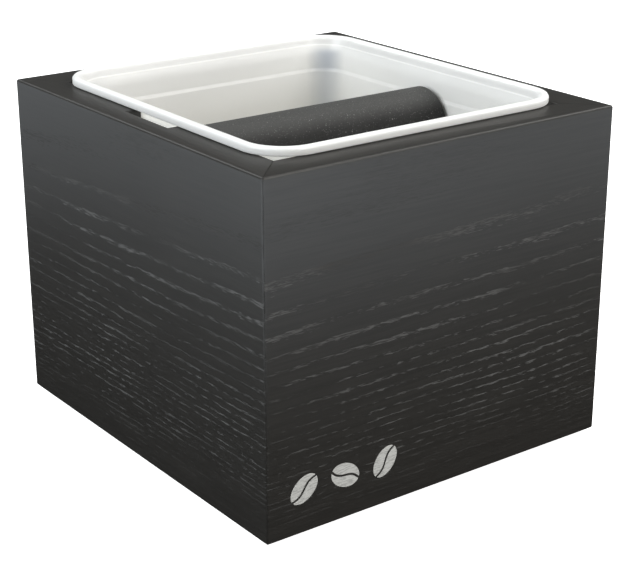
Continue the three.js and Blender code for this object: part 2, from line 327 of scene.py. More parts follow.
def mixed(tree, factor, a, b):
    """Colour a towards colour b."""
    return node(tree, "Mix", {0: factor, 6: a, 7: b}, data_type="RGBA").outputs[2]


def group(name, inputs, outputs, build):
    """A shader node group, built once. `inputs` maps each input's name to its kind and default."""
    tree = bpy.data.node_groups.get(name)
    if tree:
        return tree
    tree = bpy.data.node_groups.new(name, "ShaderNodeTree")
    for label, (kind, default) in inputs.items():
        socket = tree.interface.new_socket(label, in_out="INPUT", socket_type=SOCKETS[kind])
        if default is not None:
            socket.default_value = default
    for label, kind in outputs.items():
        tree.interface.new_socket(label, in_out="OUTPUT", socket_type=SOCKETS[kind])
    source = tree.nodes.new("NodeGroupInput")
    sink = tree.nodes.new("NodeGroupOutput")
    for label, value in build(tree, source.outputs).items():
        tree.links.new(value, sink.inputs[label])
    return tree


def grain_group():
    """Growth rings, pores and fibre of a ring-porous wood, as solid patterns.

    The rings are shells about a pith line behind the board, thinner outwards: at the distance r from the line, the
    shell's number is (r - core) squared / (2 spacing bark). A face cuts them in lines that lie far apart beside the
    pith and close together away from it. Pores are noise drawn out along the board, thickest where a ring begins.
    """

    def build(tree, given):
        place = given["Vector"]
        along, deep, up = axes(tree, place)
        slow = stretched_noise(tree, place, (6, 10, 12), 2.0)
        wander = times(tree, minus(tree, slow, 0.5), 0.010)
        fine = stretched_noise(tree, place, (55, 200, 260), 3.0, 0.65)
        jitter = times(tree, minus(tree, fine, 0.5), 0.0020)
        across = plus(tree, up, plus(tree, wander, jitter))
        lean = times(tree, along, 0.012)
        behind = plus(tree, deep, lean)
        both = node(tree, "CombineXYZ", {0: across, 1: behind})
        shell = node(tree, "VectorMath", {0: both.outputs[0]}, operation="LENGTH").outputs[1]
        core, bark = 87.5 * MM, 62.5 * MM
        grown = math_node(tree, "POWER", minus(tree, shell, core), 2.0)
        per_shell = times(tree, given["Ring Spacing"], 2 * bark)
        year = math_node(tree, "FRACT", math_node(tree, "DIVIDE", grown, per_shell))
        start, stop = remap(tree, year, 0.0, 0.08), remap(tree, year, 0.16, 0.50, 1.0, 0.0)
        early = times(tree, start, stop)
        long_pores = stretched_noise(tree, place, (170, 1500, 1900), 1.0)
        short_pores = stretched_noise(tree, place, (280, 2000, 2600), 1.0)
        bunch = stretched_noise(tree, place, (32, 90, 170), 3.0, 0.65)
        cut = minus(tree, 0.802, times(tree, bunch, 0.55))
        missing = times(tree, minus(tree, 1.0, early), 0.28)
        level = plus(tree, cut, missing)
        rows = remap(tree, minus(tree, long_pores, level), 0.0, 0.04)
        dots = remap(tree, minus(tree, short_pores, level), 0.02, 0.06)
        pores = larger(tree, rows, times(tree, dots, 0.5))
        fibre = stretched_noise(tree, place, (30, 800, 1000), 4.0, 0.6)
        return {"Pores": pores, "Rings": early, "Fibre": fibre}

    inputs = {"Vector": ("vector", None), "Ring Spacing": ("value", 0.003)}
    return group("Ring-porous grain", inputs, {"Pores": "value", "Rings": "value", "Fibre": "value"}, build)


def edge_group():
    """Edges: how far the surface turns within a small radius, broken up by noise."""

    def build(tree, given):
        soft = node(tree, "Bevel", {"Radius": given["Radius"]}, samples=6).outputs[0]
        true = node(tree, "NewGeometry").outputs["Normal"]
        same = node(tree, "VectorMath", {0: soft, 1: true}, operation="DOT_PRODUCT").outputs[1]
        turn = remap(tree, same, 0.999, 0.90)
        patch = remap(tree, stretched_noise(tree, given["Vector"], (90, 90, 90), 3.0), 0.38, 0.62, 0.35, 1.0)
        return {"Mask": times(tree, turn, patch)}

    return group("Edge wear and shade", {"Vector": ("vector", None), "Radius": ("value", 0.001)}, {"Mask": "value"}, build)


def speck_group():
    """Fine specks and a soft cloud: a cell pattern's centres, some left out, over slow noise."""

    def build(tree, given):
        cells = node(tree, "TexVoronoi", {"Vector": given["Vector"], "Scale": given["Scale"]})
        dot = remap(tree, cells.outputs["Distance"], 0.10, 0.34, 1.0, 0.0)
        lot = node(tree, "SeparateColor", {0: cells.outputs["Color"]}).outputs[0]
        kept = math_node(tree, "LESS_THAN", lot, given["Share"])
        cloud = stretched_noise(tree, given["Vector"], (55, 55, 55), 3.0)
        return {"Specks": times(tree, dot, kept), "Cloud": cloud}

    inputs = {"Vector": ("vector", None), "Scale": ("value", 900.0), "Share": ("value", 0.4)}
    return group("Specks", inputs, {"Specks": "value", "Cloud": "value"}, build)


def use_group(tree, built, inputs):
    return node(tree, "Group", inputs, node_tree=built).outputs


def material(name, build, **plain):
    """A material whose Principled shader takes `plain` values on its own sockets and varying ones from `build`.

    `build` gets the tree and returns {socket name: output}. The same name gives the same material.
    """
    made = bpy.data.materials.get(name)
    if made:
        return made
    made = bpy.data.materials.new(name)
    made.use_nodes = True
    tree = made.node_tree
    shader = tree.nodes["Principled BSDF"]
    for label, value in plain.items():
        shader.inputs[label.replace("_", " ")].default_value = value
    for label, value in build(tree).items():
        tree.links.new(value, shader.inputs[label])
    return made


def object_place(tree):
    return node(tree, "TexCoord").outputs["Object"]


def bumped(tree, height, distance, strength):
    return node(tree, "Bump", {"Height": height, "Distance": distance, "Strength": strength}).outputs[0]


# ---- Materials ----


def stained_wood():
    """Black-stained ash: dark fibre with a satin oil, pale dry pores that take no sheen, and dry edges; painted shade
    darkens the edges and the top faces, and painted light shows the pale pores only at mid-height.
    """
    settings = bpy.context.scene.knock_box_housing
    stain, pore = np.array(settings.stain), np.array(settings.pore)

    def build(tree):
        place = node(tree, "Attribute", attribute_name="grain").outputs["Vector"]
        grain = use_group(tree, grain_group(), {"Vector": place, "Ring Spacing": settings.ring_spacing})
        edge_wear_and_shade = use_group(tree, edge_group(), {"Vector": place, "Radius": 0.9 * MM})["Mask"]
        height = axes(tree, object_place(tree))[2]
        # Painted light: the pale pores' colour is faded out towards the bottom and near the top, so that they show only
        # at mid-height.
        low = remap(tree, height, WOOD_BOTTOM, WOOD_BOTTOM + 40 * MM, 0.10, 1.0)
        high = remap(tree, height, WOOD_TOP - 50 * MM, WOOD_TOP - 22 * MM, 1.0, 0.0)
        filled = remap(tree, height, WOOD_TOP - 48 * MM, WOOD_TOP - 16 * MM, 1.0, 0.20)
        pores = times(tree, grain["Pores"], filled)
        patch = remap(tree, stretched_noise(tree, place, (14, 20, 28), 2.0), 0.35, 0.60, 0.45, 1.0)
        pore_patch_and_painted_light = times(tree, patch, times(tree, low, high))
        shown = times(tree, grain["Pores"], pore_patch_and_painted_light)
        fibre = spread(tree, grain["Fibre"])
        oiled = mixed(tree, fibre, stain * 0.88, stain * 1.14)
        # Painted shade: the top faces are painted darker. The same mask makes them duller in the coat below.
        top = remap(tree, height, WOOD_TOP - 1.0 * MM, WOOD_TOP - 0.1 * MM)
        body = mixed(tree, times(tree, top, 0.5), oiled, stain * 0.6)
        rings = times(tree, grain["Rings"], times(tree, filled, 0.20))
        banded = mixed(tree, rings, body, stain * 0.62)
        flecked = mixed(tree, shown, banded, pore)
        # Painted shade: the rounded edges are painted darker.
        colour = mixed(tree, times(tree, edge_wear_and_shade, 0.6), flecked, stain * 0.5)
        rough = math_node(tree, "ADD", spread(tree, grain["Fibre"], 0.55, 0.70), pores, True)
        rubbed = larger(tree, times(tree, top, 0.55), edge_wear_and_shade)
        dry = larger(tree, times(tree, rubbed, 0.8), pores)
        oil = remap(tree, dry, 0.0, 1.0, 0.92, 0.12)
        sunk = times(tree, pores, -1.0)
        relief = plus(tree, sunk, times(tree, grain["Fibre"], 0.25))
        bump = bumped(tree, relief, 0.05 * MM, 0.5)
        return {"Base Color": colour, "Roughness": rough, "Coat Weight": oil, "Normal": bump}

    return material("Stained wood", build, Specular_IOR_Level=0.02, Coat_Roughness=0.35)


def stained_plywood():
    """The base's face veneer: the same stain, duller, with an even grain."""
    stain = np.array(bpy.context.scene.knock_box_housing.stain)

    def build(tree):
        place = node(tree, "VectorMath", {0: object_place(tree), 1: (0.0, 0.31, 0.02)}, operation="ADD").outputs[0]
        grain = use_group(tree, grain_group(), {"Vector": place, "Ring Spacing": 0.006})
        fibre = spread(tree, grain["Fibre"])
        body = mixed(tree, fibre, stain * 0.8, stain * 1.5)
        colour = mixed(tree, times(tree, grain["Pores"], 0.6), body, (0.10, 0.097, 0.09))
        rough = spread(tree, grain["Fibre"], 0.58, 0.72)
        return {"Base Color": colour, "Roughness": rough, "Normal": bumped(tree, grain["Fibre"], 0.08 * MM, 0.6)}

    return material("Stained plywood", build)


def raw_beech():
    """Pressed beech of the biscuits: pale, with short dark flecks."""

    def build(tree):
        place = object_place(tree)
        fleck = remap(tree, stretched_noise(tree, place, (900, 900, 140), 1.0), 0.58, 0.68)
        cloud = stretched_noise(tree, place, (160, 160, 60), 3.0)
        body = mixed(tree, cloud, (0.50, 0.33, 0.19), (0.66, 0.47, 0.29))
        colour = mixed(tree, times(tree, fleck, 0.5), body, (0.27, 0.15, 0.08))
        return {"Base Color": colour, "Normal": bumped(tree, fleck, 0.05 * MM, 0.6)}

    return material("Raw beech", build, Roughness=0.78)


def milky_plastic():
    """Moulded polypropylene: milky, satin, with a faint orange-peel skin, and painted shade in its upper corners and
    low inside.

    The painted corner shade, a bluish grey as if the dark wood showed through, lies where a point is beyond the
    corners' centres both ways, between the shoulder and the rim. A painted glow, which stands in for the light that
    comes through the wall, lifts a narrow band of its outside, just under the rim. A point is on the outside where its
    distance from the corner's centre, counted only where it is beyond it, is over half way through the wall.
    """
    settings = bpy.context.scene.knock_box_tray
    colour = np.array(settings.colour)
    centre_x, centre_y = TRAY_HIGH.x - settings.corner, TRAY_HIGH.y - settings.corner
    shoulder = TRAY_HIGH.z - settings.shoulder_drop
    mid_wall = settings.corner - settings.overhang - settings.wall / 2

    def build(tree):
        place = object_place(tree)
        specks = use_group(tree, speck_group(), {"Vector": place, "Scale": 500.0, "Share": 0.15})
        x, y, z = axes(tree, place)
        # Painted shade: a bluish-grey patch in the upper corners, between the shoulder and the rim.
        past_x = minus(tree, math_node(tree, "ABSOLUTE", x), centre_x)
        past_y = minus(tree, math_node(tree, "ABSOLUTE", y), centre_y)
        beyond_x, beyond_y = (remap(tree, past, -1 * MM, 11 * MM) for past in (past_x, past_y))
        corner = times(tree, beyond_x, beyond_y)
        below_rim = remap(tree, z, TRAY_HIGH.z - 9 * MM, TRAY_HIGH.z - 4 * MM, 1.0, 0.0)
        above_shoulder = remap(tree, z, shoulder, shoulder + 3 * MM, 0.60, 1.0)
        thin = times(tree, corner, times(tree, below_rim, above_shoulder))
        thick = mixed(tree, spread(tree, specks["Cloud"]), colour * 0.99, colour)
        # Painted shade: the inside turns greyer from 5 mm to 34 mm below the rim.
        down = remap(tree, z, TRAY_HIGH.z - 34 * MM, TRAY_HIGH.z - 5 * MM, 1.0, 0.0, smooth=False)
        base = mixed(tree, down, thick, (0.78, 0.772, 0.735))
        shade = mixed(tree, times(tree, thin, 0.72), base, (0.42, 0.46, 0.53))
        over_x, over_y = (larger(tree, past, 0.0) for past in (past_x, past_y))
        both = node(tree, "CombineXYZ", {0: over_x, 1: over_y}).outputs[0]
        away = node(tree, "VectorMath", {0: both}, operation="LENGTH").outputs[1]
        outside = remap(tree, away, mid_wall - 0.3 * MM, mid_wall + 0.3 * MM)
        # Painted glow: emission on the outside just under the rim stands in for light that comes through the wall.
        foot = remap(tree, z, WOOD_TOP - 8 * MM, WOOD_TOP - 3 * MM)
        head = remap(tree, z, WOOD_TOP - 0.2 * MM, WOOD_TOP + 0.2 * MM, 1.0, 0.0)
        band = times(tree, outside, times(tree, foot, head))
        through = mixed(tree, band, (0, 0, 0), (0.43, 0.43, 0.40))
        skin = stretched_noise(tree, place, (700, 700, 700), 2.0)
        rough = spread(tree, specks["Cloud"], 0.30, 0.33)
        skin_bump = bumped(tree, skin, 0.02 * MM, 0.35)
        return {"Base Color": shade, "Roughness": rough, "Emission Color": through, "Normal": skin_bump}

    return material(
        "Milky plastic",
        build,
        Subsurface_Weight=0.6,
        Subsurface_Scale=0.0035,
        Subsurface_Radius=(1, 1, 1),
        Emission_Strength=1.0,
    )


def foam_rubber():
    """Moulded foam rubber: charcoal and matt, painted lighter on its upper side as a painted highlight and darker below
    as painted shade, with pale specks and small pits.
    """
    rubber = np.array(bpy.context.scene.knock_box_bar.rubber)

    def build(tree):
        place = object_place(tree)
        fine = use_group(tree, speck_group(), {"Vector": place, "Scale": 1400.0, "Share": 0.38})
        coarse = use_group(tree, speck_group(), {"Vector": place, "Scale": 850.0, "Share": 0.05})
        specks = larger(tree, times(tree, fine["Specks"], 0.6), coarse["Specks"])
        height = axes(tree, place)[2]
        # Painted light: the upper side is painted lighter, a painted highlight.
        painted_highlight_mask = remap(tree, height, BAR_HEIGHT + 8 * MM, SLEEVE_HIGH.z - 0.5 * MM)
        # Painted shade: the sleeve's body is painted darker than the rubber's own colour.
        body = mixed(tree, spread(tree, fine["Cloud"]), rubber * 0.30, rubber * 0.50)
        top = mixed(tree, times(tree, painted_highlight_mask, 0.8), body, rubber * 2.1)
        colour = mixed(tree, times(tree, specks, 0.55), top, (0.30, 0.30, 0.29))
        cells = stretched_noise(tree, place, (1500, 1500, 1500), 2.0)
        pits = minus(tree, cells, times(tree, specks, 0.4))
        rough = spread(tree, cells, 0.55, 0.75)
        return {"Base Color": colour, "Roughness": rough, "Normal": bumped(tree, pits, 0.12 * MM, 0.6)}

    return material("Foam rubber", build, Specular_IOR_Level=0.22)


def plain_rubber():
    """Dense rubber of the feet and seals."""

    def build(tree):
        specks = use_group(tree, speck_group(), {"Vector": object_place(tree), "Scale": 1400.0, "Share": 0.2})
        colour = mixed(tree, specks["Cloud"], (0.016, 0.016, 0.016), (0.032, 0.031, 0.030))
        return {"Base Color": colour, "Normal": bumped(tree, specks["Specks"], 0.03 * MM, 0.5)}

    return material("Rubber", build, Roughness=0.68)


def metal(name, colour, roughness, stretch):
    """Bare metal: brightness and gloss vary along fine lines, stretched by `stretch` along each axis."""

    def build(tree):
        lines = stretched_noise(tree, object_place(tree), stretch, 3.0)
        tone = np.array(colour)
        shade = mixed(tree, spread(tree, lines), tone * 0.86, tone)
        rough = spread(tree, lines, roughness * 0.8, roughness * 1.25)
        return {"Base Color": shade, "Roughness": rough, "Normal": bumped(tree, lines, 0.01 * MM, 0.4)}

    return material(name, build, Metallic=1.0)


def nylon():
    """Moulded nylon of the end plugs."""

    def build(tree):
        cloud = stretched_noise(tree, object_place(tree), (120, 120, 120), 3.0)
        return {"Base Color": mixed(tree, cloud, (0.60, 0.58, 0.52), (0.70, 0.68, 0.62))}

    return material("Nylon", build, Roughness=0.45)


def silver_ink():
    """Pad-printed silver ink, thin where the grain is coarse."""
    ink = np.array(bpy.context.scene.knock_box_print.colour)

    def build(tree):
        place = object_place(tree)
        gaps = remap(tree, stretched_noise(tree, place, (300, 300, 1800), 2.0), 0.35, 0.55)
        colour = mixed(tree, gaps, ink * 0.72, ink)
        return {"Base Color": colour, "Normal": bumped(tree, gaps, 0.01 * MM, 0.4)}

    return material("Silver ink", build, Roughness=0.42)


# ---- Pieces and the frame ----


def assign(node_name, finish):
    """Gives a CAD node its finish."""
    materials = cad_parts[node_name].data.materials
    materials.clear()
    materials.append(finish)


def middle_of(node_name):
    low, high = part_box(node_name)
    return (low + high) / 2


def place_piece(piece, node_name, body, finish, offset=(0, 0, 0)):
    """Moves a piece's mesh to its place, gives it its finish, ties it to its body and hides the CAD node that it
    replaces.
    """
    piece.data.transform(Matrix.Translation(offset))
    piece.data.materials.append(finish)
    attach(piece, body)
    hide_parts(node_name)


# ---- Housing ----


def board_section(half, inset, thickness, notch):
    """One board's outline in plan, anticlockwise: outer face, right mitre, inner face, left mitre.

    Coordinates are [along, depth], with the outer face at depth `finish`. `half` is half the board's outer
    length. Each side lies `inset` inside the board's full outline, except that the mitres only give way by a
    tenth as much. The outer corners are eighth-turn arcs, because the neighbour holds the other eighth. `notch`
    is the recess's half width and depth, both zero where there is none.
    """
    settings = bpy.context.scene.knock_box_housing
    radius, finish = settings.corner, settings.finish
    mitre = settings.joint_line + 0.1 * inset
    turn = np.linspace(0, HALF_TURN / 4, 5)
    reach = max(radius - inset, 0.0)
    arc_along = half - finish - radius + reach * np.sin(turn) - mitre * turn / turn[-1]
    arc_deep = finish + radius - reach * np.cos(turn)
    support = 0.5 * MM
    inner = thickness - inset
    inner_end = half - inner - mitre
    width, depth = notch
    if width > 0:
        width += inset
        lead = min(0.4 * MM, 0.2 * width)
        floor = inner - depth
        recess = [
            [width + lead + support, inner],
            [width + lead, inner],
            [width + 0.3 * lead, inner - 0.3 * lead],
            [width, inner - lead],
            [width, inner - lead - support],
            [width, floor + support],
            [width, floor],
            [0.7 * width, floor],
        ]
    else:
        recess = [[0.0, inner]] * 8
    right_half = [
        [arc_along[0] - support, arc_deep[0]],
        *np.stack([arc_along, arc_deep], axis=1),
        [inner_end + support, inner - support],
        [inner_end, inner],
        [inner_end - support, inner],
        *recess,
    ]
    left_half = [[-x, y] for x, y in reversed(right_half)]
    return np.array(right_half + left_half, float)


def board_levels(recessed):
    """[height, inset, thickness, notch half width, notch depth] for each level of a board, from the bottom up.

    The bottom and top arrises are quarter-turns of rounding, the rebate is a step in thickness, and the recess
    has the half width r sin a at the height r cos a below the bar, up to its full width at the bar's height.
    """
    settings = bpy.context.scene.knock_box_housing
    arris, support = settings.arris, 0.5 * MM
    turn = np.linspace(0, RIGHT_ANGLE, 6)
    ease = arris * (1 - np.sin(turn))
    lift = arris * (1 - np.cos(turn))
    thin, full = BOARD - settings.rebate, BOARD
    step = BASE_TOP + 0.3 * MM
    low = [[WOOD_BOTTOM, arris + support, thin, 0, 0]]
    low += [[WOOD_BOTTOM + up, inset, thin, 0, 0] for up, inset in zip(lift, ease)]
    low += [[WOOD_BOTTOM + arris + support, 0, thin, 0, 0], [step - support, 0, thin, 0, 0], [step, 0, thin, 0, 0]]
    low += [[step, 0, full, 0, 0], [step + support, 0, full, 0, 0]]
    width, depth = settings.recess_width / 2 * recessed, settings.recess_depth * recessed
    if recessed:
        arc = np.radians([4, 9, 15, 22, 30, 38, 46, 54, 62, 70, 78, 85, 90])
        first = BAR_HEIGHT - width * math.cos(arc[0])
        low += [[first - support, 0, full, 0, 0], [first, 0, full, 0, 0]]
        low += [[BAR_HEIGHT - width * math.cos(a), 0, full, width * math.sin(a), depth] for a in arc]
    high = [[WOOD_TOP - arris - support, 0, full, width, depth]]
    high += [[WOOD_TOP - up, inset, full, width, depth] for up, inset in zip(lift[::-1], ease[::-1])]
    high += [[WOOD_TOP, arris + support, full, width, depth]]
    return low + high


# Each board, counted anticlockwise from the front: its side of the box, its length, how far its face is from the
# box's middle, whether it has a recess, and where it was cut from its timber (along, depth and height).
BOARDS = (
    ("front", 2 * OUTER_X, OUTER_Y, False, (0.075, 0.128, -0.154)),
    ("right", 2 * OUTER_Y, OUTER_X, True, (1.260, 0.124, -0.160)),
    ("back", 2 * OUTER_X, OUTER_Y, False, (2.390, 0.110, -0.148)),
    ("left", 2 * OUTER_Y, OUTER_X, True, (3.510, 0.116, -0.156)),
)


def make_board(quarter, side, length, distance, recessed, timber):
    """A board: its outline in plan carried up through the levels, then swung round to its side of the box.

    A point [along, depth, height] stands at (along, depth - distance, height) before it turns by `quarter`
    right angles. The same [along, depth, height] is kept as the attribute "grain", moved on to a stretch of the
    timber that no other board shows.
    """
    sections = []
    for height, inset, thickness, notch_width, notch_depth in board_levels(recessed):
        outline = board_section(length / 2, inset, thickness, (notch_width, notch_depth))
        sections.append(np.column_stack([outline, np.full(len(outline), height)]))
    inward = np.array([0.0, distance, 0.0])
    board = lofted(f"stained_{side}", np.array(sections) - inward)
    points = np.array([vertex.co for vertex in board.data.vertices])
    attribute = board.data.attributes.new("grain", "FLOAT_VECTOR", "POINT")
    attribute.data.foreach_set("vector", (points + inward + timber).ravel())
    board.data.transform(Matrix.Rotation(quarter * RIGHT_ANGLE, 4, "Z"))
    place_piece(board, f"{side}_board", "housing", stained_wood())


def make_foot(node_name):
    """A moulded foot: a turned profile with a dished underside, a rounded rim and a slightly flared skirt."""
    size = size_of(node_name)
    radius, height = size.x / 2, size.z
    corners = [
        [0, 0.25 * height],
        [0.42 * radius, 0.25 * height],
        [0.50 * radius, 0],
        [0.92 * radius, 0],
        [radius, 0.9 * height],
        [radius, height],
        [0, height],
    ]
    profile = with_support(rounded(corners, np.array([0.3, 0.3, 0.7, 0.2, 0.1]) * MM), 0.2 * MM)
    foot = lofted("rubber_" + node_name, turned(profile, 48), "pp")
    middle = middle_of(node_name)
    place_piece(foot, node_name, "housing", plain_rubber(), (middle.x, middle.y, 0))


def recess_radius(angle, arm, reach):
    """Distance from the middle to the edge of a cross-shaped recess, with arms `reach` long and twice `arm` wide.

    With the angle a from the nearest arm, it is reach / cos a at the arm's end, and arm / sin a along its side.
    """
    folded = np.abs((angle + HALF_TURN / 4) % RIGHT_ANGLE - HALF_TURN / 4)
    inside = np.tan(folded) <= arm / reach
    beside = arm / np.maximum(np.sin(folded), 1e-6)
    return np.where(inside, reach / np.cos(folded), beside)


def make_base_screw(node_name):
    """A countersunk cross-head screw, head down: rings of one radius each, but cross-shaped within the recess."""
    low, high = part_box(node_name)
    head, length, shank, count = (high.x - low.x) / 2, high.z - low.z, 1.6 * MM, 96
    cross = recess_radius(full_turn(count), 0.42 * MM, 1.9 * MM)
    profile = [
        (0, 1.5 * MM),
        (0.55 * cross, 1.3 * MM),
        (0.9 * cross, 0.25 * MM),
        (cross, 0.02 * MM),
        (1.04 * cross, 0),
        (head - 0.25 * MM, 0),
        (head - 0.06 * MM, 0.06 * MM),
        (head, 0.25 * MM),
        (shank + 0.1 * MM, 2.3 * MM),
        (shank, 2.7 * MM),
        (shank, length - 4 * MM),
        (0, length),
    ]
    screw = lofted("cross_head_" + node_name[-1], turned(profile, count), "pp")
    middle = middle_of(node_name)
    steel = metal("Zinc-plated steel", (0.60, 0.61, 0.62), 0.32, (500, 500, 500))
    place_piece(screw, node_name, "housing", steel, (middle.x, middle.y, low.z))


class KNOCKBOX_OT_boards(bpy.types.Operator):
    """Makes the four mitred boards"""

    bl_idname = "knockbox.boards"
    bl_label = "Boards"

    def execute(self, context):
        for quarter, board in enumerate(BOARDS):
            make_board(quarter, *board)
        return {"FINISHED"}


class KNOCKBOX_OT_base(bpy.types.Operator):
    """Finishes the base panel and makes its countersunk screws"""

    bl_idname = "knockbox.base"
    bl_label = "Base"

    def execute(self, context):
        assign("base_panel", stained_plywood())
        for number in range(1, 9):
            make_base_screw(f"base_screw_{number}")
        return {"FINISHED"}


class KNOCKBOX_OT_biscuits(bpy.types.Operator):
    """Finishes the biscuits inside the mitres"""

    bl_idname = "knockbox.biscuits"
    bl_label = "Biscuits"

    def execute(self, context):
        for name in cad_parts:
            if name.startswith("biscuit_"):
                assign(name, raw_beech())
        return {"FINISHED"}


class KNOCKBOX_OT_feet(bpy.types.Operator):
    """Makes the four rubber feet"""

    bl_idname = "knockbox.feet"
    bl_label = "Feet"

    def execute(self, context):
        for number in range(1, 5):
            make_foot(f"foot_{number}")
        return {"FINISHED"}


# ---- Tray ----


def tray_profile():
    """The tray's section as [half width, height]: under the floor, up the outside, over the rim, down the inside."""
    settings = bpy.context.scene.knock_box_tray
    wall, flange = settings.wall, settings.flange
    top, bottom, rim = TRAY_HIGH.z, TRAY_LOW.z, TRAY_HIGH.x
    body = rim - settings.overhang
    step = 1.2 * MM
    foot = top - settings.shoulder_drop
    shoulder = foot + 1.5 * MM
    below = body - step
    floor_out = below - (foot - bottom) * math.tan(settings.draft)
    lip = 1.8 * MM
    lip_foot = WOOD_TOP + 0.3 * MM
    outside = [
        ([0, bottom + 0.6 * MM], 0),
        ([0.80 * floor_out, bottom + 0.6 * MM], 1.5),
        ([0.84 * floor_out, bottom], 1.5),
        ([floor_out, bottom], 8),
        ([below, foot], 1.2),
        ([body, shoulder], 1.2),
        ([body, top - flange], 1.6),
        ([rim - lip, top - flange], 0.4),
        ([rim - lip, lip_foot], 0.5),
        ([rim, lip_foot], 0.5),
        ([rim, top], 1.5),
    ]
    inside = [
        ([body - wall + 2.8 * MM, top], 2.4),
        ([body - wall - 0.2 * MM, top - 6.5 * MM], 16),
        ([body - wall - 0.3 * MM, shoulder + 0.2 * MM], 1.6),
        ([below - wall + 0.4 * MM, foot], 1.6),
        ([floor_out - wall, bottom + wall], 6.5),
        ([0.84 * floor_out, bottom + wall], 1.5),
        ([0.80 * floor_out, bottom + wall + 0.6 * MM], 1.5),
        ([0, bottom + wall + 0.6 * MM], 0),
    ]
    corners, radii = zip(*outside, *inside)
    path = rounded(corners, np.array(radii[1:-1]) * MM, steps=10)
    return with_support(path, 0.8 * MM)


def tray_rings(profile):
    """A rounded rectangle for each point of the section.

    With the half width w, its corner's radius is the larger of w - centre and 8 mm, so that the walls' corners
    share their centres. It is longer than it is wide, and shrinks to a point at the middle of the floor.
    """
    settings = bpy.context.scene.knock_box_tray
    rim_x, rim_y = TRAY_HIGH.x, TRAY_HIGH.y
    half, height = profile[:, :1], profile[:, 1:]
    shrink = np.minimum(half / (rim_x - settings.corner), 1.0)
    corner = np.maximum(half - (rim_x - settings.corner), 8 * MM * shrink)
    centre_x = half - corner
    centre_y = half + (rim_y - rim_x) * shrink - corner
    turn = np.linspace(0, RIGHT_ANGLE, 25)
    arcs = []
    for k, (side_x, side_y) in enumerate(((1, 1), (-1, 1), (-1, -1), (1, -1))):
        angle = turn + k * RIGHT_ANGLE
        x = side_x * centre_x + corner * np.cos(angle)
        y = side_y * centre_y + corner * np.sin(angle)
        arcs.append(np.stack([x, y], axis=-1))
    along = np.linspace(0, 1, 11)[1:-1, None]
    stretches = []
    for arc, after in zip(arcs, arcs[1:] + arcs[:1]):
        stretches += [arc, arc[:, -1:] * (1 - along) + after[:, :1] * along]
    flat = np.concatenate(stretches, axis=1)
    return np.concatenate([flat, np.broadcast_to(height[:, None], (*flat.shape[:2], 1))], axis=-1)


class KNOCKBOX_OT_tray(bpy.types.Operator):
    """Makes the milky tray that hangs in the box by its rim"""

    bl_idname = "knockbox.tray"
    bl_label = "Tray"

    def execute(self, context):
        tray = lofted("milky_tray", tray_rings(tray_profile()), "pp")
        place_piece(tray, "tray", "tray", milky_plastic())
        return {"FINISHED"}


# ---- Knock bar ----


def place_fixing(piece, side, node_name, distance):
    """Turns a fixing's +Z along the bar, towards the left (-1) or right (+1), and moves it out by the distance."""
    piece.data.transform(Matrix.Rotation(side * RIGHT_ANGLE, 4, "Y"))
    steel = metal("Stainless steel", (0.63, 0.63, 0.62), 0.26, (300, 300, 300))
    place_piece(piece, node_name, "tray", steel, (side * distance, 0, BAR_HEIGHT))


def make_bar_washer(side, label):
    """A wide washer: a rectangle with pressed-over edges, turned about the screw."""
    name = f"bar_washer_{label}"
    size = size_of(name)
    outer, bore, thick = size.z / 2, 3.3 * MM, size.x
    corners = [[bore, 0.5 * thick], [bore, 0], [outer, 0], [outer, thick], [bore, thick], [bore, 0.5 * thick]]
    profile = with_support(rounded(corners, np.array([0.1, 0.2, 0.45, 0.2]) * MM, steps=5), 0.1 * MM)[:-1]
    washer = lofted(f"pressed_washer_{label}", turned(profile, 72), "w")
    place_fixing(washer, side, name, min(abs(corner.x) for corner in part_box(name)))


def make_bar_screw(side, label):
    """A button-head screw: rings about its axis, hexagonal within the socket, round over the dome and shank.

    The hexagon's edge is at flat / cos a, with the angle a folded into a sixth of a turn. The dome is a quarter of
    an ellipse about the socket's rim.
    """
    name = f"bar_screw_{label}"
    low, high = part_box(name)
    tip, crown = sorted((abs(low.x), abs(high.x)))
    head, shank, flat, socket, rise = (high.z - low.z) / 2, 3 * MM, 2 * MM, 2.6 * MM, 3 * MM
    seat, count, sixth = crown - 0.8 * MM - rise, 72, HALF_TURN / 3
    hexagon = flat / np.cos((full_turn(count) + sixth / 2) % sixth - sixth / 2)
    dome = np.radians([8, 20, 32, 44, 56, 68, 80, 90])
    profile = [
        (0, tip),
        (2.3 * MM, tip),
        (shank, tip + 0.7 * MM),
        (shank, seat - 0.2 * MM),
        (shank, seat),
        (head - 0.3 * MM, seat),
        (head, seat + 0.3 * MM),
        (head, seat + 0.8 * MM),
        *[(socket + (head - socket) * math.cos(a), crown - rise * (1 - math.sin(a))) for a in dome],
        (1.06 * hexagon, crown),
        (hexagon, crown - 0.12 * MM),
        (hexagon, crown - 2.2 * MM),
        (0, crown - 2.9 * MM),
    ]
    screw = lofted(f"button_screw_{label}", turned(profile, count), "pp")
    place_fixing(screw, side, name, 0)


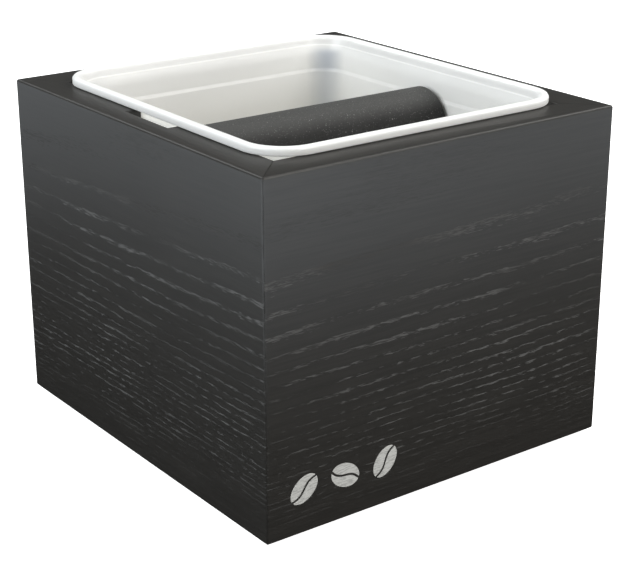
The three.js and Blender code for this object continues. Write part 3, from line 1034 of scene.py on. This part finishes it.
class KNOCKBOX_OT_bar(bpy.types.Operator):
    """Makes the bar's rubber sleeve and finishes its tube, end plugs and seals"""

    bl_idname = "knockbox.bar"
    bl_label = "Knock bar"

    def execute(self, context):
        settings = context.scene.knock_box_bar
        outer, half = (SLEEVE_HIGH.z - SLEEVE_LOW.z) / 2, SLEEVE_HIGH.x
        bore = settings.bore
        corners = [[bore, 0], [bore, -half], [outer, -half], [outer, half], [bore, half], [bore, 0]]
        rounding = np.array([0.4 * MM, settings.end_rounding, settings.end_rounding, 0.4 * MM])
        profile = with_support(rounded(corners, rounding, steps=10), 0.5 * MM)[:-1]
        sleeve = lofted("foam_sleeve", turned(profile, settings.steps, along="x"), "w")
        place_piece(sleeve, "bar_sleeve", "tray", foam_rubber(), (0, 0, BAR_HEIGHT))
        assign("bar_core", metal("Drawn aluminium", (0.72, 0.73, 0.74), 0.30, (60, 1500, 1500)))
        for side in ("left", "right"):
            assign(f"bar_plug_{side}", nylon())
            assign(f"bar_seal_{side}", plain_rubber())
        return {"FINISHED"}


class KNOCKBOX_OT_bar_fixings(bpy.types.Operator):
    """Makes the bar's button-head screws and wide washers"""

    bl_idname = "knockbox.bar_fixings"
    bl_label = "Bar fixings"

    def execute(self, context):
        for side, label in zip(SIDES, ("left", "right")):
            make_bar_washer(side, label)
            make_bar_screw(side, label)
        return {"FINISHED"}


# ---- Print ----


def half_bean(name, side, lean, centre):
    """Half of a flat printed bean, between its outline and its crease, a film that lies on the front face.

    At u from -1 to 1 along the bean, the outline is at width / 2 times the square root of 1 - u squared, and the
    crease at a twelfth of the width times sin(pi u). The film spans the two at each u.
    """
    settings = bpy.context.scene.knock_box_print
    length, width = settings.bean_length, settings.bean_width
    u = np.sin(np.linspace(-RIGHT_ANGLE, RIGHT_ANGLE, 41)) * 0.999
    crease = side * 0.05 * width + width / 12 * np.sin(HALF_TURN * u)
    outline = side * width / 2 * np.sqrt(1 - u**2)
    outline = np.where(side * (outline - crease) > 0, outline, crease)
    x = length / 2 * u
    sanded = bpy.context.scene.knock_box_housing.finish
    back, front = -OUTER_Y + sanded + 0.005 * MM, -OUTER_Y
    section = [(crease, back), (outline, back), (outline, front), (crease, front)]
    rings = np.stack([np.column_stack([x, across, np.full(len(u), deep)]) for across, deep in section], axis=1)
    cos, sin = math.cos(lean), math.sin(lean)
    across, up = np.moveaxis(rings[..., :2] @ [[cos, sin], [-sin, cos]] + centre, -1, 0)
    half = lofted(name, np.stack([across, rings[..., 2], up], axis=-1))
    edit = bmesh.new()
    edit.from_mesh(half.data)
    bmesh.ops.recalc_face_normals(edit, faces=edit.faces)
    edit.to_mesh(half.data)
    edit.free()
    return half


class KNOCKBOX_OT_print(bpy.types.Operator):
    """Makes the silver print at the front's lower left: three coffee beans"""

    bl_idname = "knockbox.front_print"
    bl_label = "Print"

    def execute(self, context):
        settings = context.scene.knock_box_print
        height = WOOD_BOTTOM + settings.height
        halves = []
        for number, lean in enumerate((38, -24, 52)):
            centre = (-OUTER_X + settings.margin + number * settings.pitch, height)
            halves += [half_bean(f"bean_{number}_{side}", side, math.radians(lean), centre) for side in SIDES]
        beans = joined("silver_print", halves)
        beans.data.materials.append(silver_ink())
        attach(beans, "housing")
        return {"FINISHED"}


# ---- Stage ----


# Each square softbox: name, place, height of the point on the box's axis that it faces, side, power, colour.
LIGHTS = (
    ("top_softbox", (0.22, -0.15, 0.85), 0.10, 0.9, 3.0, (1.0, 0.99, 0.97)),
    ("left_softbox", (-1.1, 0.15, 0.75), 0.10, 0.8, 11.5, (0.95, 0.98, 1.0)),
    ("front_softbox", (0.35, -1.2, 0.75), 0.08, 0.8, 9.5, (1.0, 0.97, 0.93)),
    ("right_softbox", (1.05, -0.15, 0.95), 0.08, 0.8, 7.0, (1.0, 0.99, 0.97)),
    ("back_softbox", (-0.10, 1.05, 1.10), 0.08, 0.7, 5.0, (0.98, 0.99, 1.0)),
)


def soft_light(name, place, aim_height, side, power, colour):
    data = bpy.data.lights.new(name, "AREA")
    data.size, data.energy, data.color = side, power, colour
    lamp = bpy.data.objects.new(name, data)
    lamp.location = place
    lamp.rotation_euler = (Vector((0, 0, aim_height)) - Vector(place)).to_track_quat("-Z", "Y").to_euler()
    bpy.context.scene.collection.objects.link(lamp)


def floor_material():
    """White to the camera from above, clear from below, brighter to glossy rays further from the box, else dim.

    The brightness for glossy rays grows in a straight line with the larger of -1.1 x and -y, and falls off with
    the larger of x and y until the far sides' own, weaker glow takes over.
    """
    made = bpy.data.materials.new("Pale floor")
    made.use_nodes = True
    tree = made.node_tree
    tree.nodes.clear()
    path = node(tree, "LightPath").outputs
    pale = node(tree, "BsdfDiffuse", {"Color": (0.86, 0.86, 0.86)}).outputs[0]
    glow = node(tree, "Emission", {"Color": (1, 1, 1), "Strength": 1.0}).outputs[0]
    bright = node(tree, "AddShader", {0: pale, 1: glow}).outputs[0]
    dim = node(tree, "BsdfDiffuse", {"Color": (0.16, 0.16, 0.16)}).outputs[0]
    x, y, _ = axes(tree, object_place(tree))
    away = larger(tree, times(tree, x, -1.1), times(tree, y, -1.0))
    ramp = remap(tree, away, 0.322, 0.50, 0.0, 3.15, smooth=False)
    fade = remap(tree, larger(tree, x, y), 0.12, 0.55, 1.0, 0.38)
    beyond = remap(tree, larger(tree, x, y), 0.33, 0.60, 0.0, 1.5, smooth=False)
    beyond = times(tree, beyond, remap(tree, x, -0.32, -0.05))
    ramp = larger(tree, times(tree, ramp, fade), beyond)
    sheen = node(tree, "Emission", {"Color": (0.86, 0.93, 1.0), "Strength": ramp}).outputs[0]
    other = node(tree, "MixShader", {0: path["Is Glossy Ray"], 1: dim, 2: sheen}).outputs[0]
    both = node(tree, "MixShader", {0: path["Is Camera Ray"], 1: other, 2: bright}).outputs[0]
    under = node(tree, "NewGeometry").outputs["Backfacing"]
    clear = node(tree, "BsdfTransparent").outputs[0]
    sided = node(tree, "MixShader", {0: under, 1: both, 2: clear}).outputs[0]
    node(tree, "OutputMaterial", {"Surface": sided})
    return made


class KNOCKBOX_OT_stage(bpy.types.Operator):
    """Makes the floor, the lights and the camera"""

    bl_idname = "knockbox.stage"
    bl_label = "Stage"

    def execute(self, context):
        settings = context.scene.knock_box_stage
        self.make_camera(context.scene, settings)
        self.make_floor()
        for light in LIGHTS:
            soft_light(*light)
        self.make_world(context.scene)
        context.scene.view_settings.view_transform = "Standard"
        return {"FINISHED"}

    def make_camera(self, scene, settings):
        camera = bpy.data.objects.new("camera", bpy.data.cameras.new("camera"))
        scene.collection.objects.link(camera)
        turn, climb = settings.azimuth, settings.elevation
        back = Vector((math.sin(turn) * math.cos(climb), -math.cos(turn) * math.cos(climb), math.sin(climb)))
        camera.location = Vector(settings.target) + back * settings.distance
        camera.rotation_euler = (-back).to_track_quat("-Z", "Y").to_euler()
        camera.data.lens = settings.lens
        camera.data.clip_start, camera.data.clip_end = 0.05, 50.0
        scene.camera = camera

    def make_floor(self):
        half = 8.0
        corners = [(-half, -half, 0), (half, -half, 0), (half, half, 0), (-half, half, 0)]
        mesh = bpy.data.meshes.new("floor")
        mesh.from_pydata(corners, [], [(0, 1, 2, 3)])
        floor = bpy.data.objects.new("floor", mesh)
        mesh.materials.append(floor_material())
        bpy.context.scene.collection.objects.link(floor)

    def make_world(self, scene):
        """An even dim sky, dimmer still in reflections, and white where the camera sees it."""
        world = bpy.data.worlds.new("studio")
        world.use_nodes = True
        tree = world.node_tree
        tree.nodes.clear()
        path = node(tree, "LightPath").outputs
        seen = path["Is Camera Ray"]
        strength = remap(tree, seen, 0.0, 1.0, 0.22, 1.0, smooth=False)
        mirrored = times(tree, path["Is Glossy Ray"], -0.13)
        strength = plus(tree, strength, mirrored)
        tint = mixed(tree, seen, (0.90, 0.98, 0.98), (1.0, 1.0, 1.0))
        sky = node(tree, "Background", {"Color": tint, "Strength": strength}).outputs[0]
        node(tree, "OutputWorld", {"Surface": sky})
        scene.world = world


# ---- Add-on ----

OPERATORS = (
    KNOCKBOX_OT_stage,
    KNOCKBOX_OT_boards,
    KNOCKBOX_OT_base,
    KNOCKBOX_OT_biscuits,
    KNOCKBOX_OT_feet,
    KNOCKBOX_OT_tray,
    KNOCKBOX_OT_bar,
    KNOCKBOX_OT_bar_fixings,
    KNOCKBOX_OT_print,
)
SETTINGS = {
    "knock_box_housing": HousingSettings,
    "knock_box_tray": TraySettings,
    "knock_box_bar": BarSettings,
    "knock_box_print": PrintSettings,
    "knock_box_stage": StageSettings,
}


class KNOCKBOX_PT_panel(bpy.types.Panel):
    """Sizes, colours and one button for each group of pieces"""

    bl_label = "Knock Box"
    bl_space_type = "VIEW_3D"
    bl_region_type = "UI"
    bl_category = "Knock Box"

    def draw(self, context):
        for operator in OPERATORS:
            self.layout.operator(operator.bl_idname)
        for attribute in SETTINGS:
            settings = getattr(context.scene, attribute)
            column = self.layout.column(align=True)
            for key in settings.__annotations__:
                column.prop(settings, key)


def register():
    for cls in (*SETTINGS.values(), *OPERATORS, KNOCKBOX_PT_panel):
        bpy.utils.register_class(cls)
    for attribute, cls in SETTINGS.items():
        setattr(bpy.types.Scene, attribute, PointerProperty(type=cls))


def unregister():
    for attribute in SETTINGS:
        delattr(bpy.types.Scene, attribute)
    for cls in reversed((*SETTINGS.values(), *OPERATORS, KNOCKBOX_PT_panel)):
        bpy.utils.unregister_class(cls)


def main():
    register()
    for operator in OPERATORS:
        group_name, function_name = operator.bl_idname.split(".")
        getattr(getattr(bpy.ops, group_name), function_name)()


if __name__ == "__main__":
    main()
